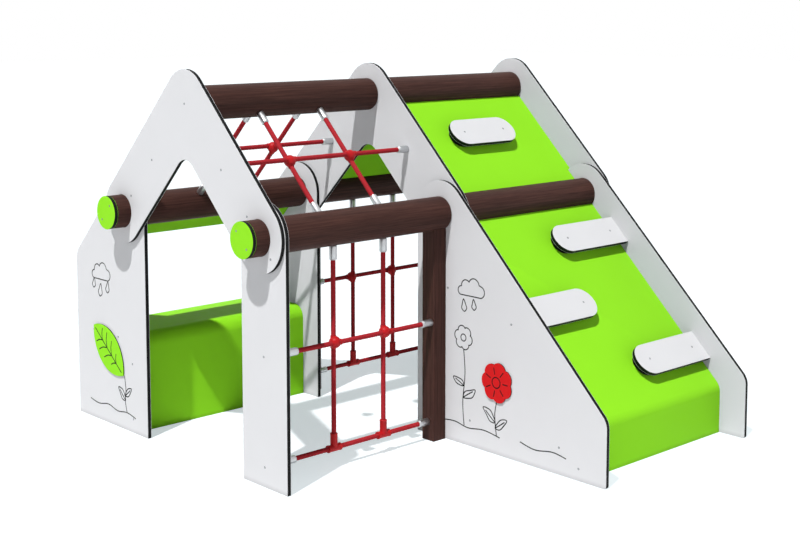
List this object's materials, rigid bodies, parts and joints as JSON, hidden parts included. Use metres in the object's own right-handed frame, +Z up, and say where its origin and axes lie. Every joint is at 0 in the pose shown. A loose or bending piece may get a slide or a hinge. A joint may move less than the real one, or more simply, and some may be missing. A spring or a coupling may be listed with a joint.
{
  "type": "playhouse",
  "caption": "Open garden playhouse with board gables on round logs, rope nets on walls and roof, a bent bench, an awning and a climbing ramp with holds.",
  "frame": {"origin": "middle of the object's box, on the ground", "axes": "+Z up, +X from the front gable to the rear gable, +Y towards the bench side; the climbing ramp is on the -Y side"},
  "size_m": [2.0605, 2.261, 1.567],
  "materials": {
    "white_board": "satin sheet plastic, white skins on a black core",
    "green_board": "satin sheet plastic, bright green",
    "red_board": "satin sheet plastic, red skin",
    "black_board": "satin sheet plastic, black",
    "brown_timber": "dark brown glaze, fine grain",
    "red_rope": "braided sheath",
    "red_plastic": "moulded, half gloss",
    "pressed_aluminium": "bright pressed aluminium, for the ropes' end sleeves in the visual",
    "stainless_screw": "stainless steel, for the screw heads in the visual"
  },
  "bodies": {
    "root": {"awning_sheet": "green_board", "bench_sheet": "green_board", "climbing_sheet": "green_board", "far_roof_ball_1": "red_plastic", "far_roof_ball_2": "red_plastic", "far_roof_cross_rope": "red_rope", "far_roof_rope_1": "red_rope", "far_roof_rope_2": "red_rope", "far_roof_sheet": "green_board", "far_wall_ball_1": "red_plastic", "far_wall_ball_2": "red_plastic", "far_wall_cross_rope": "red_rope", "far_wall_low_rope": "red_rope", "far_wall_rope_1": "red_rope", "far_wall_rope_2": "red_rope", "flower_plate": "red_board", "fourth_hold": "white_board", "fourth_hold_spacer": "black_board", "front_far_eave_log": "brown_timber", "front_far_log_cap": "green_board", "front_far_panel": "white_board", "front_gable": "white_board", "front_near_eave_log": "brown_timber", "front_near_leg": "white_board", "front_near_log_cap": "green_board", "front_near_post": "brown_timber", "front_ridge_log": "brown_timber", "leaf_plate": "green_board", "middle_far_panel": "white_board", "middle_far_post": "brown_timber", "middle_gable": "white_board", "middle_near_post": "brown_timber", "middle_ramp_panel": "white_board", "near_roof_ball_1": "red_plastic", "near_roof_ball_2": "red_plastic", "near_roof_cross_rope": "red_rope", "near_roof_rope_1": "red_rope", "near_roof_rope_2": "red_rope", "near_wall_ball_1": "red_plastic", "near_wall_ball_2": "red_plastic", "near_wall_cross_rope": "red_rope", "near_wall_low_rope": "red_rope", "near_wall_rope_1": "red_rope", "near_wall_rope_2": "red_rope", "ramp_sheet": "green_board", "rear_far_eave_log": "brown_timber", "rear_far_leg": "white_board", "rear_far_log_cap": "green_board", "rear_far_post": "brown_timber", "rear_gable": "white_board", "rear_near_eave_log": "brown_timber", "rear_near_log_cap": "green_board", "rear_ramp_panel": "white_board", "rear_ridge_log": "brown_timber", "second_hold": "white_board", "second_hold_spacer": "black_board", "third_hold": "white_board", "third_hold_spacer": "black_board", "upper_hold": "white_board", "upper_hold_spacer": "black_board"}
  },
  "joints": []
}
